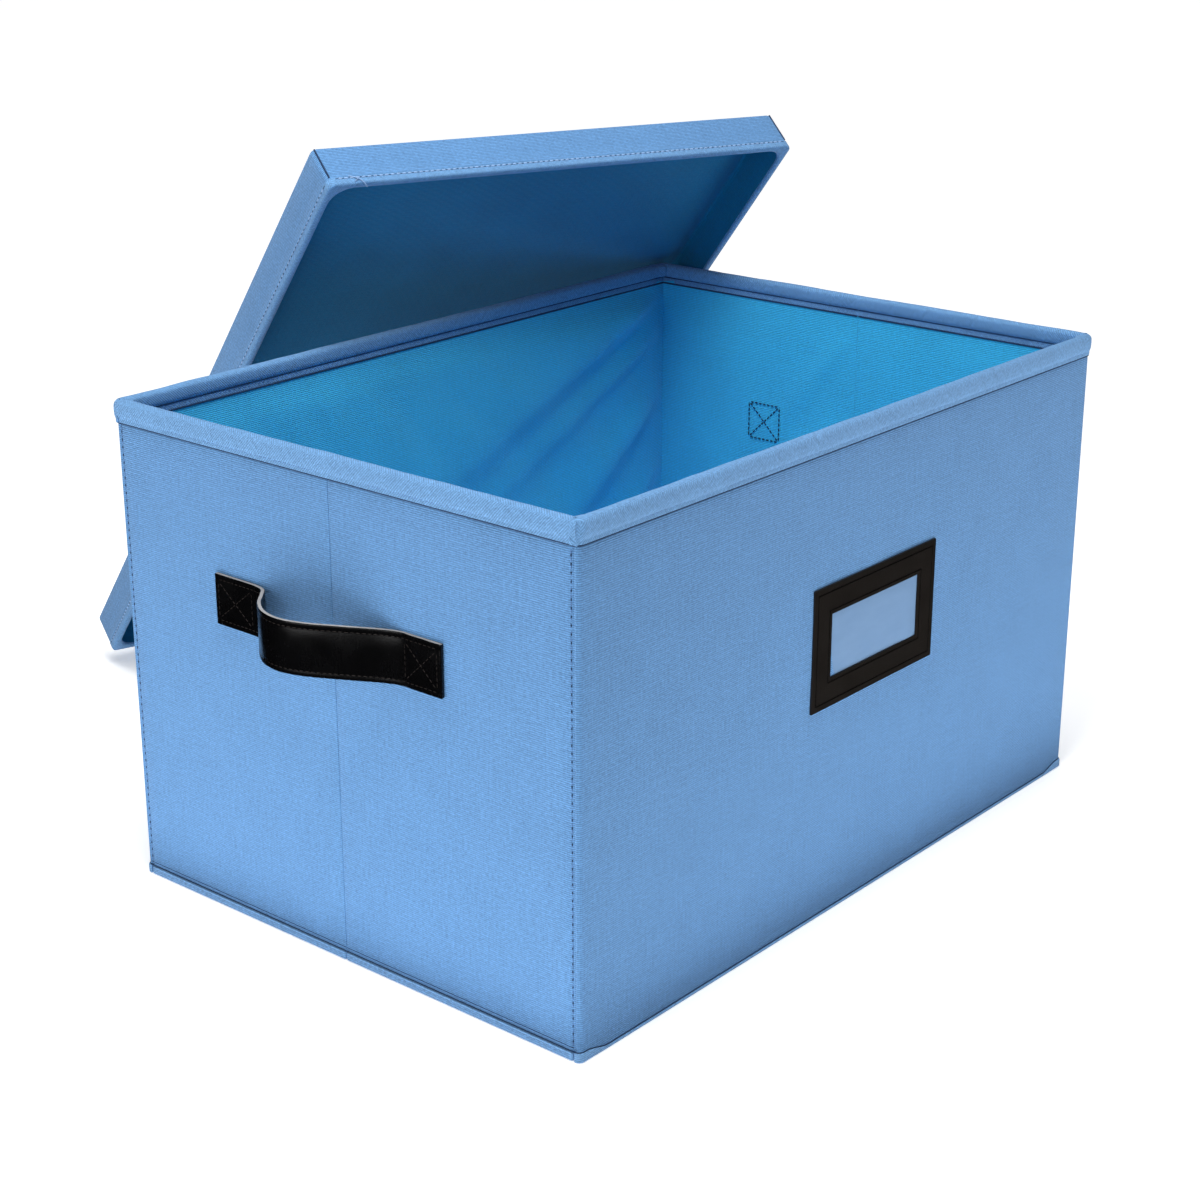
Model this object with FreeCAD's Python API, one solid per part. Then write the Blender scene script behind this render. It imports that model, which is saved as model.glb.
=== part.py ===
import FreeCAD, Part
import os
from FreeCAD import Vector, Rotation, Placement

# Collapsible fabric storage crate with its lid stood against one corner.
# Frame: origin at the centre of the underside, X along the crate, the label faces -Y, Z up.
# Sizes are in millimetres.

# crate
RIM_L = 421.0
RIM_W = 293.4
CRATE_H = 250.0
RIM_PROUD = 1.2
WALL_T = 3.4
COVER_T = 0.8
LINING_T = 0.7
END_WRAP = 2.0
WALL_Z0 = 4.9
CORNER_R = 3.0
GAP = 0.3

# rim binding
BIND_H = 11.0
BIND_TOP = 1.4

# base
BASE_T = 4.6
BASE_SKIN = 0.8
BASE_OVER = 0.7
STRIP_H = 4.9

# label holder on the front wall
LABEL_X, LABEL_Z = 9.7, 142.6
LABEL_L, LABEL_H, LABEL_T = 104.0, 62.0, 1.5
WINDOW_L, WINDOW_H = 71.0, 32.0
FILM_L, FILM_H, FILM_T = 80.0, 41.0, 0.3

# strap handles on the two ends
STRAP_W = 25.4
STRAP_T = 2.4
STRAP_Z = 165.3
NEAR_TAB = (-69.2, -44.7)
FAR_TAB = (49.3, 77.3)
# plan curve of the loop: place along the wall, height of the strap's middle off the wall
LOOP = [(-44.7, 1.2), (-36.0, 4.2), (-20.0, 12.8), (-4.0, 21.0), (9.0, 24.4),
        (21.0, 22.4), (31.0, 16.0), (38.0, 8.2), (43.0, 3.1), (49.0, 1.5)]

# lid
LID_A = 302.5
LID_B = 430.0
LID_D = 25.5
LID_T = 3.0
LID_SKIN = 0.7
LID_LINING = 0.6
HEM_H = 6.0
HEM_PROUD = 0.5
HEM_TIP = 0.8
LID_CORNER_R = 3.5
# how the lid stands: turn about Z, lean, roll in its own plane, and the middle of its top
LID_TURN, LID_LEAN, LID_ROLL = -14.3, -50.0, 2.2
LID_AT = Vector(87.9, 236.9, 185.72)

HX = RIM_L / 2 - RIM_PROUD
HY = RIM_W / 2 - RIM_PROUD
IX = HX - WALL_T
IY = HY - WALL_T
WALL_TOP = CRATE_H - BIND_TOP
BIND_Z0 = CRATE_H - BIND_H

# side of the crate: turn about Z and shift from the panel's own frame, in which
# U runs along the wall, V points outwards from the inner face and Z is up
SIDES = {
    "front": (180, Vector(0, -IY, 0)),
    "back": (0, Vector(0, IY, 0)),
    "left": (90, Vector(-IX, 0, 0)),
    "right": (-90, Vector(IX, 0, 0)),
}


def box(u0, u1, v0, v1, z0, z1):
    return Part.makeBox(u1 - u0, v1 - v0, z1 - z0, Vector(u0, v0, z0))


def place(shape, side):
    turn, shift = SIDES[side]
    shape.Placement = Placement(shift, Rotation(Vector(0, 0, 1), turn)).multiply(shape.Placement)
    return shape


def edges(shape, test):
    return [e for e in shape.Edges if test(e.BoundBox)]


def upright(shape, us, v):
    """The vertical edges at the given places along the wall, at height v off its inner face."""
    return edges(shape, lambda b: b.ZLength > 2 and b.XLength < 1e-6 and b.YLength < 1e-6
                 and abs(b.YMin - v) < 1e-6 and any(abs(b.XMin - u) < 1e-6 for u in us))


def top_edges(shape, z):
    return edges(shape, lambda b: b.ZLength < 1e-6 and abs(b.ZMin - z) < 1e-6)


def save(name, shape):
    solid = shape.Solids[0]
    if len(shape.Solids) != 1 or not solid.isValid():
        raise ValueError(name + " is not one valid solid")
    solid.exportStep(os.path.join("parts", name + ".step"))


# ---- wall panels -------------------------------------------------------------

def wall_cover(u0, u1, rounded):
    tray = box(u0, u1, LINING_T, WALL_T, WALL_Z0, WALL_TOP)
    if rounded:
        tray = tray.makeFillet(CORNER_R - 0.4, upright(tray, (u0, u1), WALL_T))
    pocket = box(u0 + END_WRAP, u1 - END_WRAP, LINING_T, WALL_T - COVER_T,
                 WALL_Z0 + END_WRAP, WALL_TOP)
    return tray.cut(pocket)


def wall_board(u0, u1):
    return box(u0 + END_WRAP, u1 - END_WRAP, LINING_T, WALL_T - COVER_T,
               WALL_Z0 + END_WRAP, WALL_TOP)


def wall_lining(u0, u1):
    return box(u0, u1, 0, LINING_T, WALL_Z0, BIND_Z0)


def rim_binding(u0, u1, wraps_ends):
    """Folded band over the top edge of a wall; on the long walls it turns the corners too."""
    over = RIM_PROUD if wraps_ends else 0
    band = box(u0 - over, u1 + over, 0, WALL_T + RIM_PROUD, BIND_Z0, CRATE_H)
    if wraps_ends:
        band = band.makeFillet(CORNER_R + 0.8, upright(band, (u0 - over, u1 + over),
                                                       WALL_T + RIM_PROUD))
        band = band.makeFillet(0.9, top_edges(band, CRATE_H))
    else:
        rim = edges(band, lambda b: b.ZMin > CRATE_H - 1e-6 and b.XLength > 2)
        band = band.makeFillet(0.9, rim)
    slack = 0 if wraps_ends else 5
    wall = box(u0 - slack, u1 + slack, LINING_T, WALL_T, BIND_Z0, WALL_TOP)
    return band.cut(wall)


def base_strip():
    """Edge of the base under a long wall."""
    half = HX + BASE_OVER
    strip = box(-half, half, GAP, WALL_T + BASE_OVER, 0, STRIP_H)
    strip = strip.makeFillet(CORNER_R, upright(strip, (-half, half), WALL_T + BASE_OVER))
    low = edges(strip, lambda b: b.ZMax < 1e-6 and b.YMin > WALL_T - CORNER_R - 1)
    return strip.makeChamfer(0.6, low)


def panel(name, side, u0, u1, long_wall):
    save(name + "_cover", place(wall_cover(u0, u1, long_wall), side))
    save(name + "_board", place(wall_board(u0, u1), side))
    save(name + "_lining", place(wall_lining(u0, u1), side))
    save(name + "_rim_binding", place(rim_binding(u0, u1, long_wall), side))


def long_walls():
    for name in ("front", "back"):
        panel(name + "_wall", name, -HX, HX, True)
        save(name + "_base_strip", place(base_strip(), name))


def end_walls():
    far, near = (GAP / 2, IY - GAP), (GAP - IY, -GAP / 2)
    panel("left_end_near", "left", near[0], near[1], False)
    panel("left_end_far", "left", far[0], far[1], False)
    panel("right_end_near", "right", far[0], far[1], False)
    panel("right_end_far", "right", near[0], near[1], False)


# ---- base --------------------------------------------------------------------

def base_half(name, y0, y1):
    half = HX + BASE_OVER
    mid_z = BASE_T - BASE_SKIN
    tray = box(-half, half, y0, y1, 0, mid_z)
    low = edges(tray, lambda b: b.ZMax < 1e-6 and b.YLength > 2)
    tray = tray.makeChamfer(0.6, low)
    inner = (-half + END_WRAP, half - END_WRAP, y0 + BASE_SKIN, y1 - BASE_SKIN, BASE_SKIN, mid_z)
    save(name + "_cover", tray.cut(box(*inner)))
    save(name + "_board", box(*inner))
    save(name + "_lining", box(-half, half, y0, y1, mid_z, BASE_T))


# ---- handles and label -------------------------------------------------------

def offset_points(points, distance):
    """The points moved sideways from the line through them."""
    moved = []
    for i, (u, v) in enumerate(points):
        a = points[max(i - 1, 0)]
        b = points[min(i + 1, len(points) - 1)]
        along = Vector(b[0] - a[0], b[1] - a[1], 0).normalize()
        if i in (0, len(points) - 1):
            along = Vector(1, 0, 0)
        moved.append(Vector(u - along.y * distance, v + along.x * distance, 0))
    return moved


def curve(points):
    line = Part.BSplineCurve()
    line.interpolate(points, InitialTangent=Vector(1, 0, 0), FinalTangent=Vector(1, 0, 0))
    return line.toShape()


def handle_loop():
    z0 = STRAP_Z - STRAP_W / 2
    outer = offset_points(LOOP, STRAP_T / 2)
    inner = offset_points(LOOP, -STRAP_T / 2)
    ends = [Part.makeLine(inner[0], outer[0]), Part.makeLine(outer[-1], inner[-1])]
    wire = Part.Wire([curve(inner), ends[1], curve(outer), ends[0]])
    loop = Part.Face(wire).extrude(Vector(0, 0, STRAP_W))
    loop.translate(Vector(0, WALL_T, z0))
    return loop


def handle_tab(u0, u1):
    z0 = STRAP_Z - STRAP_W / 2
    return box(u0, u1, WALL_T, WALL_T + STRAP_T, z0, z0 + STRAP_W)


def mirrored(shape):
    return shape.mirror(Vector(0, 0, 0), Vector(1, 0, 0))


def handles():
    save("left_handle_near_tab", place(handle_tab(*NEAR_TAB), "left"))
    save("left_handle_far_tab", place(handle_tab(*FAR_TAB), "left"))
    save("left_handle_loop", place(handle_loop(), "left"))
    save("right_handle_near_tab", place(mirrored(handle_tab(*NEAR_TAB)), "right"))
    save("right_handle_far_tab", place(mirrored(handle_tab(*FAR_TAB)), "right"))
    save("right_handle_loop", place(mirrored(handle_loop()), "right"))


def centred(length, height, v0, v1):
    """A block on the front wall, centred on the label. U runs towards -X on that wall."""
    return box(-LABEL_X - length / 2, -LABEL_X + length / 2, v0, v1,
               LABEL_Z - height / 2, LABEL_Z + height / 2)


def label_holder():
    frame = centred(LABEL_L, LABEL_H, WALL_T, WALL_T + LABEL_T)
    corners = edges(frame, lambda b: b.YLength > 1)
    frame = frame.makeFillet(2.0, corners)
    frame = frame.cut(centred(WINDOW_L, WINDOW_H, WALL_T, WALL_T + LABEL_T))
    frame = frame.cut(centred(FILM_L, FILM_H, WALL_T, WALL_T + FILM_T))
    save("label_frame", place(frame, "front"))
    save("label_window", place(centred(FILM_L, FILM_H, WALL_T, WALL_T + FILM_T), "front"))


# ---- lid ---------------------------------------------------------------------
# Built with its outer face at Z = 0 and its lip at Z = -LID_D, then stood up.

def stand_lid(shape):
    up = Vector(0, 0, 1)
    turn = Rotation(up, LID_TURN)
    lean = Rotation(Vector(1, 0, 0), LID_LEAN)
    roll = Rotation(up, LID_ROLL)
    shape.Placement = Placement(LID_AT, turn.multiply(lean).multiply(roll))
    return shape


def lid_plate(name, half_a, half_b, z0, z1):
    save(name, stand_lid(box(-half_a, half_a, -half_b, half_b, z0, z1)))


def lid_top():
    z_mid = LID_LINING - LID_T
    half_a, half_b = LID_A / 2, LID_B / 2
    inset = END_WRAP
    tray = box(-half_a, half_a, -half_b, half_b, z_mid, 0)
    corners = edges(tray, lambda b: b.ZLength > 1)
    tray = tray.makeFillet(LID_CORNER_R, corners)
    tray = tray.makeFillet(1.2, top_edges(tray, 0))
    pocket = box(inset - half_a, half_a - inset, inset - half_b, half_b - inset,
                 z_mid, -LID_SKIN)
    corners = edges(pocket, lambda b: b.ZLength > 1)
    pocket = pocket.makeFillet(2.0, corners)
    save("lid_top_board", stand_lid(pocket.copy()))
    save("lid_top_cover", stand_lid(tray.cut(pocket)))
    lid_plate("lid_top_lining", half_a - LID_T, half_b - LID_T, -LID_T, z_mid)


def skirt(long_side):
    """A side of the lid along its own U axis, outer face at V = 0, inner face at V = -LID_T."""
    half = LID_B / 2 if long_side else LID_A / 2 - LID_T
    side = box(-half, half, -LID_T, 0, HEM_TIP - LID_D, LID_LINING - LID_T)
    hem_top = HEM_H - LID_D
    if long_side:
        side = side.makeFillet(LID_CORNER_R - 0.6, upright(side, (-half, half), 0))
        end = half + HEM_PROUD
        hem = box(-end, end, -LID_T, HEM_PROUD, -LID_D, hem_top)
        hem = hem.makeFillet(LID_CORNER_R - 0.3, upright(hem, (-end, end), HEM_PROUD))
        inner = half - LID_T - HEM_PROUD
        hem = hem.fuse(box(-inner, inner, -LID_T - HEM_PROUD, -LID_T, -LID_D, hem_top))
    else:
        end = half - HEM_PROUD
        hem = box(-end, end, -LID_T - HEM_PROUD, HEM_PROUD, -LID_D, hem_top)
    return side, hem.cut(side)


def lid_sides():
    where = {
        "upper": (False, 180, Vector(0, -LID_B / 2, 0)),
        "lower": (False, 0, Vector(0, LID_B / 2, 0)),
        "left": (True, 90, Vector(-LID_A / 2, 0, 0)),
        "right": (True, -90, Vector(LID_A / 2, 0, 0)),
    }
    for name, (long_side, turn, shift) in where.items():
        side, hem = skirt(long_side)
        for kind, shape in (("skirt", side), ("hem", hem)):
            shape = shape.copy()
            shape.rotate(Vector(0, 0, 0), Vector(0, 0, 1), turn)
            shape.translate(shift)
            solid = shape.Solids[0].copy()
            own = solid.Placement
            up = Rotation(Vector(0, 0, 1), LID_TURN)
            lean = Rotation(Vector(1, 0, 0), LID_LEAN)
            roll = Rotation(Vector(0, 0, 1), LID_ROLL)
            solid.Placement = Placement(LID_AT, up.multiply(lean).multiply(roll)).multiply(own)
            save("lid_" + name + "_" + kind, solid)


os.makedirs("parts", exist_ok=True)
long_walls()
end_walls()
base_half("base_front", GAP - IY, 0)
base_half("base_back", 0, IY - GAP)
handles()
label_holder()
lid_top()
lid_sides()
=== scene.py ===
import math

import bmesh
import bpy
from mathutils import Matrix, Vector, noise


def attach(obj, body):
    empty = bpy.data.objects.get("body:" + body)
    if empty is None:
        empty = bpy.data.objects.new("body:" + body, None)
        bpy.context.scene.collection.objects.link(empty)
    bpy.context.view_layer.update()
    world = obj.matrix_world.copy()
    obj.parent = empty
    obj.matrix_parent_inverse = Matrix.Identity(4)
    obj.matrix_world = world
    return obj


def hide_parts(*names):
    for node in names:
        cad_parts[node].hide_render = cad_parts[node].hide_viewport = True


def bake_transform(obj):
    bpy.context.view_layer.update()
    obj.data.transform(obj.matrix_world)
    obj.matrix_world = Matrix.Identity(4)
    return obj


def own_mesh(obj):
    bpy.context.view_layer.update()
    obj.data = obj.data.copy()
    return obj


# Collapsible storage crate: canvas over folding boards, faux-leather straps and label holder,
# and a lid stood against one corner. Lengths are in metres.

# the crate, as its boards are cut
RIM_L, RIM_W, CRATE_H = 0.421, 0.2934, 0.250
WALL_T = 0.0034
RIM_PROUD = 0.0012
WALL_Z0, WALL_TOP, BIND_Z0 = 0.0049, 0.2486, 0.239
HX = RIM_L / 2 - RIM_PROUD
HY = RIM_W / 2 - RIM_PROUD
IX, IY = HX - WALL_T, HY - WALL_T
GAP = 0.0003
UNDER_BAND = BIND_Z0 - 0.0005  # height of the painted shade line under the band
BAND_STITCH = 0.0019  # height of the band's stitches above its lower edge
INNER_SEAM = 0.0031  # height of the band's inner seam above its lower edge
END_REACH = IY + 0.00038  # how far the end canvas reaches, into the corner
BASE_OVER = 0.0007

STRAP_W, STRAP_Z = 0.0254, 0.1653
NEAR_TAB = (-0.0692, -0.0447)
FAR_TAB = (0.0493, 0.0773)
LOOP = [(-0.0447, 0.0012), (-0.036, 0.0042), (-0.020, 0.0128), (-0.004, 0.021), (0.009, 0.0244),
        (0.021, 0.0224), (0.031, 0.016), (0.038, 0.0082), (0.043, 0.0031), (0.049, 0.0015)]

LABEL_X, LABEL_Z = 0.0097, 0.1426
LABEL_L, LABEL_H = 0.104, 0.062
WINDOW_H = 0.032
LABEL_SEAMS = (0.0032, (LABEL_H - WINDOW_H) / 2 - 0.0022)

LID_A, LID_B, LID_D, LID_T = 0.3025, 0.430, 0.0255, 0.003
LID_TURN, LID_LEAN, LID_ROLL = -14.3, -50.0, 2.2
LID_AT = (0.0879, 0.2369, 0.18572)

# panel frame: X along the wall, Y outwards from its inner face, Z up
SIDES = {
    "front": Matrix.Translation((0, -IY, 0)) @ Matrix.Rotation(math.pi, 4, "Z"),
    "back": Matrix.Translation((0, IY, 0)),
    "left": Matrix.Translation((-IX, 0, 0)) @ Matrix.Rotation(math.pi / 2, 4, "Z"),
    "right": Matrix.Translation((IX, 0, 0)) @ Matrix.Rotation(-math.pi / 2, 4, "Z"),
}

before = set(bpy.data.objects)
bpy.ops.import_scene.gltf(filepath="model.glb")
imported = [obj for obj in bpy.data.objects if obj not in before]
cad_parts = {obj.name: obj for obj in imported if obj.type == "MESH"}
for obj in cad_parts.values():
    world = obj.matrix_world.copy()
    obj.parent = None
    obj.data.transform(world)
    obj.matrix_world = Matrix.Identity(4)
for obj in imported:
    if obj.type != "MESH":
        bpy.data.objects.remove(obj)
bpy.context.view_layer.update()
bpy.ops.object.select_all(action="DESELECT")


# ---- working by hand ---------------------------------------------------------

def only(obj):
    bpy.ops.object.select_all(action="DESELECT")
    obj.select_set(True)
    bpy.context.view_layer.objects.active = obj
    return obj


def edit(obj, kind="VERT"):
    only(obj)
    bpy.ops.object.mode_set(mode="EDIT")
    bpy.ops.mesh.select_mode(type=kind)
    bpy.ops.mesh.select_all(action="DESELECT")


def leave():
    bpy.ops.object.mode_set(mode="OBJECT")


def pick(obj, test, kind="VERT"):
    """Selects, in edit mode, what passes the test on its middle point."""
    mesh = bmesh.from_edit_mesh(obj.data)
    mesh.select_mode = {kind}
    for v in mesh.verts:
        v.select = False
    for e in mesh.edges:
        e.select = False
    for f in mesh.faces:
        f.select = False
    if kind == "VERT":
        for v in mesh.verts:
            v.select = test(v.co)
    if kind == "EDGE":
        for e in mesh.edges:
            e.select_set(test(e))
    if kind == "FACE":
        for f in mesh.faces:
            f.select_set(test(f))
    mesh.select_flush_mode()
    bmesh.update_edit_mesh(obj.data)


def all_over(obj, action, **values):
    """Does one mesh action to the whole piece."""
    edit(obj)
    bpy.ops.mesh.select_all(action="SELECT")
    action(**values)
    leave()


def cut_away(obj, test):
    """Deletes, in edit mode, the faces that pass the test."""
    pick(obj, test, "FACE")
    bpy.ops.mesh.delete(type="FACE")


def round_off(obj, test, offset, segments):
    """Bevels, in edit mode, the edges that pass the test."""
    pick(obj, test, "EDGE")
    bpy.ops.mesh.bevel(offset=offset, segments=segments, affect="EDGES")


def settle(obj):
    only(obj)
    bpy.ops.object.transform_apply(location=True, rotation=True, scale=True)
    return obj


def finish_with(obj, kind, **values):
    """Adds a modifier with these values and applies it."""
    only(obj)
    m = obj.modifiers.new(kind.title(), kind)
    for key, value in values.items():
        setattr(m, key, value)
    bpy.ops.object.modifier_apply(modifier=m.name)
    return obj


def ease_edges(obj, width, segments, angle=50):
    return finish_with(obj, "BEVEL", width=width, segments=segments, limit_method="ANGLE",
                       angle_limit=math.radians(angle))


def call(obj, name):
    obj.name = name
    obj.data.name = name


def block(name, x0, x1, y0, y1, z0, z1):
    middle = ((x0 + x1) / 2, (y0 + y1) / 2, (z0 + z1) / 2)
    bpy.ops.mesh.primitive_cube_add(size=1, location=middle)
    obj = bpy.context.object
    call(obj, name)
    obj.scale = (x1 - x0, y1 - y0, z1 - z0)
    return settle(obj)


def cloth_grid(name, x0, x1, z0, z1, y, step):
    """A flat cut of cloth standing in the panel frame, facing outwards."""
    nx = max(2, round((x1 - x0) / step))
    nz = max(2, round((z1 - z0) / step))
    bpy.ops.mesh.primitive_grid_add(x_subdivisions=nx, y_subdivisions=nz, size=1,
                                    location=((x0 + x1) / 2, y, (z0 + z1) / 2),
                                    rotation=(math.pi / 2, 0, 0))
    obj = bpy.context.object
    call(obj, name)
    obj.scale = (x1 - x0, z1 - z0, 1)
    return settle(obj)


def cut_stations(obj, axis, places):
    """Cuts the mesh across at each place, so that it can bend there."""
    edit(obj)
    for place in places:
        bpy.ops.mesh.select_all(action="SELECT")
        co = [0, 0, 0]
        no = [0, 0, 0]
        co[axis], no[axis] = place, 1
        bpy.ops.mesh.bisect(plane_co=co, plane_no=no)
    leave()


def spread(a, b, step):
    n = max(1, round((b - a) / step))
    return [a + (b - a) * i / n for i in range(1, n)]


def move_points(obj, move):
    """Moves every vertex to move(its place), as a hand would push cloth about."""
    for v in obj.data.vertices:
        v.co = move(v.co.copy())
    obj.data.update()


def unwrap(obj):
    """Lays a metre-true cloth map on the piece while it still stands in its own frame."""
    all_over(obj, bpy.ops.uv.cube_project, cube_size=1.0, correct_aspect=False)


def soften(obj, angle=40):
    only(obj)
    bpy.ops.object.shade_smooth_by_angle(angle=math.radians(angle))


def dress(obj, *materials):
    obj.data.materials.clear()
    for m in materials:
        obj.data.materials.append(m)


def cover_with(obj, material, angle=40):
    unwrap(obj)
    soften(obj, angle)
    dress(obj, material)


def face_out(obj):
    edit(obj)
    bpy.ops.mesh.select_all(action="SELECT")
    bpy.ops.mesh.remove_doubles(threshold=1e-6)
    bpy.ops.mesh.normals_make_consistent(inside=False)
    leave()


def stand(obj, matrix):
    obj.matrix_world = matrix
    return settle(obj)


def ripple(p, size, seed=0.0):
    return noise.noise(Vector((p[0] / size + seed, p[1] / size - seed, p[2] / size + 3.7 * seed)))


def smooth_edge(x, lo, hi, width):
    """0 at the two ends of a span and 1 well inside it."""
    t = max(0.0, min(1.0, min(x - lo, hi - x) / width))
    return t * t * (3 - 2 * t)


def fix_to(obj, body, finish, *nodes):
    """Fixes a finished piece to a body, in place of the CAD nodes it stands for."""
    if nodes:
        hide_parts(*nodes)
    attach(obj, body)


# ---- materials ---------------------------------------------------------------

def group(name, inputs, outputs):
    tree = bpy.data.node_groups.new(name, "ShaderNodeTree")
    for label, kind, value in inputs:
        s = tree.interface.new_socket(name=label, in_out="INPUT", socket_type=kind)
        s.default_value = value
    for label, kind in outputs:
        tree.interface.new_socket(name=label, in_out="OUTPUT", socket_type=kind)
    return tree, tree.nodes.new("NodeGroupInput"), tree.nodes.new("NodeGroupOutput")


class Bench:
    """Adds and links nodes in one tree."""

    def __init__(self, tree):
        self.tree = tree

    def node(self, kind):
        return self.tree.nodes.new("ShaderNode" + kind)

    def put(self, socket, value):
        if isinstance(value, bpy.types.NodeSocket):
            self.tree.links.new(value, socket)
        elif value is not None:
            socket.default_value = value

    def coords(self, which):
        return self.node("TexCoord").outputs[which]

    def math(self, kind, a, b=None, c=None):
        n = self.node("Math")
        n.operation = kind
        for socket, value in zip(n.inputs, (a, b, c)):
            self.put(socket, value)
        return n.outputs[0]

    def noise(self, vector, scale, detail=2.0, roughness=0.5):
        n = self.node("TexNoise")
        self.put(n.inputs["Vector"], vector)
        self.put(n.inputs["Scale"], scale)
        n.inputs["Detail"].default_value = detail
        n.inputs["Roughness"].default_value = roughness
        return n.outputs["Fac"]

    def mapped(self, vector, scale=(1, 1, 1), turn=0.0):
        n = self.node("Mapping")
        self.put(n.inputs["Vector"], vector)
        n.inputs["Scale"].default_value = scale
        n.inputs["Rotation"].default_value = (0, 0, turn)
        return n.outputs[0]

    def mix(self, factor, a, b, blend="MIX"):
        n = self.node("Mix")
        n.data_type = "RGBA"
        n.blend_type = blend
        self.put(n.inputs[0], factor)
        self.put(n.inputs[6], a)
        self.put(n.inputs[7], b)
        return n.outputs[2]

    def lit(self, colour, light):
        grey = self.node("CombineColor")
        for socket in grey.inputs:
            self.put(socket, light)
        return self.mix(1.0, colour, grey.outputs[0], "MULTIPLY")


def woven_cloth():
    """Plain weave: crossing threads with slubs, and a slow mottling as of dyed canvas."""
    tree, inside, out = group(
        "woven_cloth",
        [("Map", "NodeSocketVector", (0, 0, 0)), ("Colour", "NodeSocketColor", (0.2, 0.4, 0.7, 1)),
         ("Threads per metre", "NodeSocketFloat", 1100.0), ("Slub", "NodeSocketFloat", 0.25),
         ("Mottle", "NodeSocketFloat", 0.12), ("Contrast", "NodeSocketFloat", 0.35)],
        [("Colour", "NodeSocketColor"), ("Height", "NodeSocketFloat"), ("Roughness", "NodeSocketFloat")],
    )
    b = Bench(tree)
    scaled = b.node("VectorMath")
    scaled.operation = "SCALE"
    b.put(scaled.inputs[0], inside.outputs["Map"])
    b.put(scaled.inputs["Scale"], inside.outputs["Threads per metre"])
    threads = scaled.outputs[0]
    parts = b.node("SeparateXYZ")
    b.put(parts.inputs[0], threads)
    warp = b.math("ABSOLUTE", b.math("SINE", b.math("MULTIPLY", parts.outputs[0], math.pi)))
    weft = b.math("ABSOLUTE", b.math("SINE", b.math("MULTIPLY", parts.outputs[1], math.pi)))
    check = b.node("TexChecker")
    b.put(check.inputs["Vector"], threads)
    check.inputs["Scale"].default_value = 1.0
    over = check.outputs["Fac"]
    under = b.math("SUBTRACT", 1.0, over)
    crossing = b.math("ADD", b.math("MULTIPLY", warp, over), b.math("MULTIPLY", weft, under))
    weave = b.math("MULTIPLY_ADD", weft, 0.75, b.math("MULTIPLY", crossing, 0.25))
    along = b.noise(b.mapped(threads, (0.05, 1.0, 1.0)), 0.9, 2.0)
    across = b.noise(b.mapped(threads, (1.0, 0.05, 1.0)), 0.9, 2.0)
    slub = b.math("SUBTRACT", b.math("ADD", along, across), 1.0)
    speck = b.math("SUBTRACT", b.noise(b.mapped(threads, (0.55, 1.0, 1.0)), 1.0, 2.0, 0.7), 0.5)
    slow = b.math("SUBTRACT", b.noise(inside.outputs["Map"], 26.0, 4.0, 0.6), 0.5)
    light = b.math("MULTIPLY_ADD", b.math("SUBTRACT", weave, 0.62), inside.outputs["Contrast"], 1.0)
    light = b.math("MULTIPLY_ADD", b.math("MULTIPLY_ADD", speck, 4.0, slub), inside.outputs["Slub"], light)
    light = b.math("MULTIPLY_ADD", slow, inside.outputs["Mottle"], light)
    b.put(out.inputs["Colour"], b.lit(inside.outputs["Colour"], light))
    b.put(out.inputs["Height"], b.math("MULTIPLY_ADD", slub, 0.5, weave))
    b.put(out.inputs["Roughness"], b.math("MULTIPLY_ADD", speck, 0.15, 0.86))
    return tree


def pressed_grain():
    """Pressed leather grain: small cells, fine scratches and a slightly uneven polish."""
    tree, inside, out = group(
        "pressed_grain",
        [("Map", "NodeSocketVector", (0, 0, 0)), ("Colour", "NodeSocketColor", (0.02, 0.02, 0.02, 1)),
         ("Cell size", "NodeSocketFloat", 1200.0), ("Polish", "NodeSocketFloat", 0.35)],
        [("Colour", "NodeSocketColor"), ("Height", "NodeSocketFloat"), ("Roughness", "NodeSocketFloat")],
    )
    b = Bench(tree)
    cells = b.node("TexVoronoi")
    b.put(cells.inputs["Vector"], inside.outputs["Map"])
    b.put(cells.inputs["Scale"], inside.outputs["Cell size"])
    slow = b.noise(inside.outputs["Map"], 60.0, 4.0, 0.6)
    fine = b.noise(b.mapped(inside.outputs["Map"], (1, 0.15, 1)), 900.0, 3.0, 0.6)
    light = b.math("MULTIPLY_ADD", b.math("SUBTRACT", slow, 0.5), 0.8, 1.0)
    b.put(out.inputs["Colour"], b.lit(inside.outputs["Colour"], light))
    b.put(out.inputs["Height"], b.math("ADD", cells.outputs["Distance"], b.math("MULTIPLY", fine, 0.3)))
    rough = b.math("MULTIPLY_ADD", b.math("SUBTRACT", slow, 0.5), 0.3, inside.outputs["Polish"])
    b.put(out.inputs["Roughness"], b.math("MULTIPLY_ADD", b.math("SUBTRACT", fine, 0.5), 0.12, rough))
    return tree


WOVEN = woven_cloth()
GRAIN = pressed_grain()


def blank(name):
    m = bpy.data.materials.new(name)
    m.use_nodes = True
    shader = m.node_tree.nodes["Principled BSDF"]
    return m, Bench(m.node_tree), shader


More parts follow.
